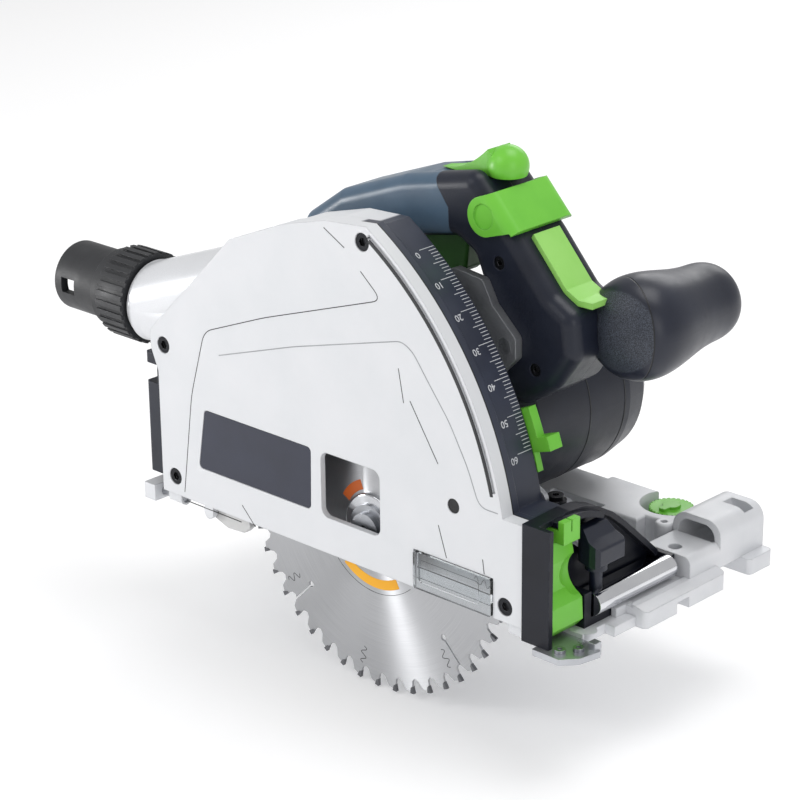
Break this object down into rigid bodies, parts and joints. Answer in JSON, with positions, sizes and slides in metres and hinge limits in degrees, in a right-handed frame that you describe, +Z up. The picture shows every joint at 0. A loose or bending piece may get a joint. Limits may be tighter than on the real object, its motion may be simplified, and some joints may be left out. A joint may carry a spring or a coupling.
{
  "type": "track plunge saw",
  "caption": "Circular plunge saw on a guide-rail sole, with tilting hood, swinging motor head, D-handle, round front grip and dust port.",
  "frame": {"origin": "underside of the sole, abreast of the spindle at full plunge", "axes": "+X cutting direction, +Y from the blade towards the motor, +Z up"},
  "size_m": [0.3554, 0.157, 0.2672],
  "materials": {
    "cast_white": "fine satin paint on die-cast light alloy",
    "glide_grey": "low-friction plastic",
    "bright_alloy": "satin",
    "screw_steel": "zinc plated",
    "segment_black": "fine grain glass-filled nylon",
    "bright_chrome": "polished",
    "control_green": "satin moulded",
    "hood_silver": "pearl painted die casting",
    "scale_grey": "dark satin coat",
    "label_dark": "blank dark insert",
    "rubber_black": "soft rubber",
    "screw_black": "black oxide steel",
    "housing_dark": "fine grain",
    "spring_steel": "spring steel wire",
    "cast_alloy": "raw die casting",
    "cover_blue": "satin blue grey",
    "trim_green": "satin moulded",
    "grip_dark": "satin with a grained patch",
    "core_steel": "stacked electrical sheet",
    "coil_copper": "enamelled copper",
    "bearing_steel": "ground steel",
    "potting_black": "potting compound",
    "inlet_black": "moulded",
    "gear_steel": "cut gear steel",
    "blade_steel": "circular brushed steel",
    "carbide_grey": "ground carbide",
    "trigger_green": "satin moulded",
    "clear_guard": "clear polycarbonate",
    "sensor_white": "moulded"
  },
  "bodies": {
    "sole": {"base_plate": "cast_white", "glide_strips": "glide_grey", "sight_foot": "bright_alloy", "sole_screws": "screw_steel", "front_segment": "segment_black", "rear_segment": "segment_black", "clamp_bar": "bright_chrome", "hinge_pins": "screw_steel", "angle_pointer": "control_green"},
    "hood": {"hood_cover": "hood_silver", "hood_body": "scale_grey", "label_plate": "label_dark", "cover_plug": "rubber_black", "hood_screws": "screw_black", "rear_cover": "housing_dark", "dust_pipe": "hood_silver", "hood_pins": "screw_steel", "return_spring": "spring_steel", "scale_foot": "bright_alloy"},
    "head": {"gear_case": "cast_alloy", "bearing_plate": "cast_alloy", "stop_bar": "screw_steel", "motor_housing": "housing_dark", "motor_cap": "housing_dark", "head_screws": "screw_black", "handle_left": "housing_dark", "handle_right": "housing_dark", "grip_cover": "cover_blue", "handle_trim": "trim_green", "front_grip": "grip_dark", "stator_core": "core_steel", "stator_coils": "coil_copper", "ball_bearings": "bearing_steel", "control_board": "potting_black", "switch_unit": "potting_black", "power_inlet": "inlet_black", "trigger_pin": "screw_steel"},
    "blade": {"spindle": "bearing_steel", "drive_gear": "gear_steel", "outer_flange": "bearing_steel", "saw_blade": "blade_steel", "carbide_tips": "carbide_grey", "arbor_screw": "screw_steel"},
    "idler_shaft": {"idler": "gear_steel"},
    "rotor_shaft": {"rotor": "gear_steel", "cooling_fan": "inlet_black"},
    "trigger_body": {"trigger": "trigger_green"},
    "lock_button_body": {"lock_button": "control_green"},
    "change_lever_body": {"change_lever": "control_green"},
    "speed_dial_body": {"speed_dial": "trigger_green"},
    "undercut_lever_body": {"undercut_lever": "control_green"},
    "front_knob_body": {"front_knob": "grip_dark"},
    "rear_knob_body": {"rear_knob": "grip_dark"},
    "front_wheel_body": {"guide_wheel_front": "control_green"},
    "rear_wheel_body": {"guide_wheel_rear": "control_green"},
    "chip_guard_body": {"chip_guard": "clear_guard"},
    "dust_swivel_body": {"dust_swivel": "inlet_black"},
    "sensor_body": {"sensor_paddle": "sensor_white"},
    "depth_stop_body": {"depth_stop": "control_green"}
  },
  "joints": [
    {"name": "tilt", "type": "hinge", "parent": "sole", "child": "hood", "pos_m": [0, -0.068, 0.004], "axis": [1, 0, 0], "range_deg": [0, 47]},
    {"name": "plunge", "type": "hinge", "parent": "hood", "child": "head", "pos_m": [-0.105, -0.05, 0.0275], "axis": [0, -1, 0], "range_deg": [0, 34.5]},
    {"name": "blade_spin", "type": "hinge", "parent": "head", "child": "blade", "pos_m": [0, -0.062, 0.024], "axis": [0, 1, 0], "continuous": true},
    {"name": "idler_spin", "type": "hinge", "parent": "head", "child": "idler_shaft", "pos_m": [-0.00112, -0.03, 0.05098], "axis": [0, 1, 0], "continuous": true},
    {"name": "rotor_spin", "type": "hinge", "parent": "head", "child": "rotor_shaft", "pos_m": [0.014, 0.02, 0.07], "axis": [0, 1, 0], "continuous": true},
    {"name": "trigger_pull", "type": "hinge", "parent": "head", "child": "trigger_body", "pos_m": [-0.003, -0.012, 0.1605], "axis": [0, -1, 0], "range_deg": [0, 6], "stiffness_Nm_per_rad": 0.2, "springref_deg": -14.32},
    {"name": "lock_button_slide", "type": "slide", "parent": "head", "child": "lock_button_body", "axis": [0.9656, 0, 0.26], "range_m": [0, 0.003], "stiffness_N_per_m": 200, "springref_m": -0.004},
    {"name": "change_lever_flip", "type": "hinge", "parent": "head", "child": "change_lever_body", "pos_m": [0.0422, -0.012, 0.1856], "axis": [0, -1, 0], "range_deg": [0, 40]},
    {"name": "speed_dial_turn", "type": "hinge", "parent": "head", "child": "speed_dial_body", "pos_m": [-0.0815, -0.012, 0.14], "axis": [0, 1, 0], "range_deg": [0, 280]},
    {"name": "undercut_pull", "type": "hinge", "parent": "sole", "child": "undercut_lever_body", "pos_m": [0.1122, -0.062, 0.0082], "axis": [0, 1, 0], "range_deg": [0, 18], "stiffness_Nm_per_rad": 0.15, "springref_deg": -17.19},
    {"name": "front_knob_turn", "type": "hinge", "parent": "sole", "child": "front_knob_body", "pos_m": [0.1142, -0.037, 0.03], "axis": [0, 0, -1], "range_deg": [0, 70]},
    {"name": "rear_knob_turn", "type": "hinge", "parent": "sole", "child": "rear_knob_body", "pos_m": [-0.155, -0.03233, 0.03612], "axis": [1, 0, 0], "range_deg": [0, 90]},
    {"name": "front_wheel_turn", "type": "hinge", "parent": "sole", "child": "front_wheel_body", "pos_m": [0.084, 0.0575, 0.012], "axis": [0, 0, 1], "range_deg": [-60, 60]},
    {"name": "rear_wheel_turn", "type": "hinge", "parent": "sole", "child": "rear_wheel_body", "pos_m": [-0.112, 0.0575, 0.012], "axis": [0, 0, 1], "range_deg": [-60, 60]},
    {"name": "chip_guard_slide", "type": "slide", "parent": "hood", "child": "chip_guard_body", "axis": [0, 0, 1], "range_m": [-0.006, 0]},
    {"name": "dust_swivel_turn", "type": "hinge", "parent": "hood", "child": "dust_swivel_body", "pos_m": [-0.172, -0.053, 0.0992], "axis": [1, 0, 0], "continuous": true},
    {"name": "sensor_lift", "type": "hinge", "parent": "hood", "child": "sensor_body", "pos_m": [-0.1036, -0.0686, 0.0046], "axis": [0, -1, 0], "range_deg": [0, 8], "stiffness_Nm_per_rad": 0.02, "springref_deg": -11.46},
    {"name": "depth_stop_slide", "type": "hinge", "parent": "hood", "child": "depth_stop_body", "pos_m": [-0.084, -0.045, 0.025], "axis": [0, -1, 0], "range_deg": [0, 34]}
  ],
  "couplings": [
    {"joint": "idler_spin", "follows": "blade_spin", "ratio": -1.5},
    {"joint": "rotor_spin", "follows": "blade_spin", "ratio": 4.2857}
  ]
}
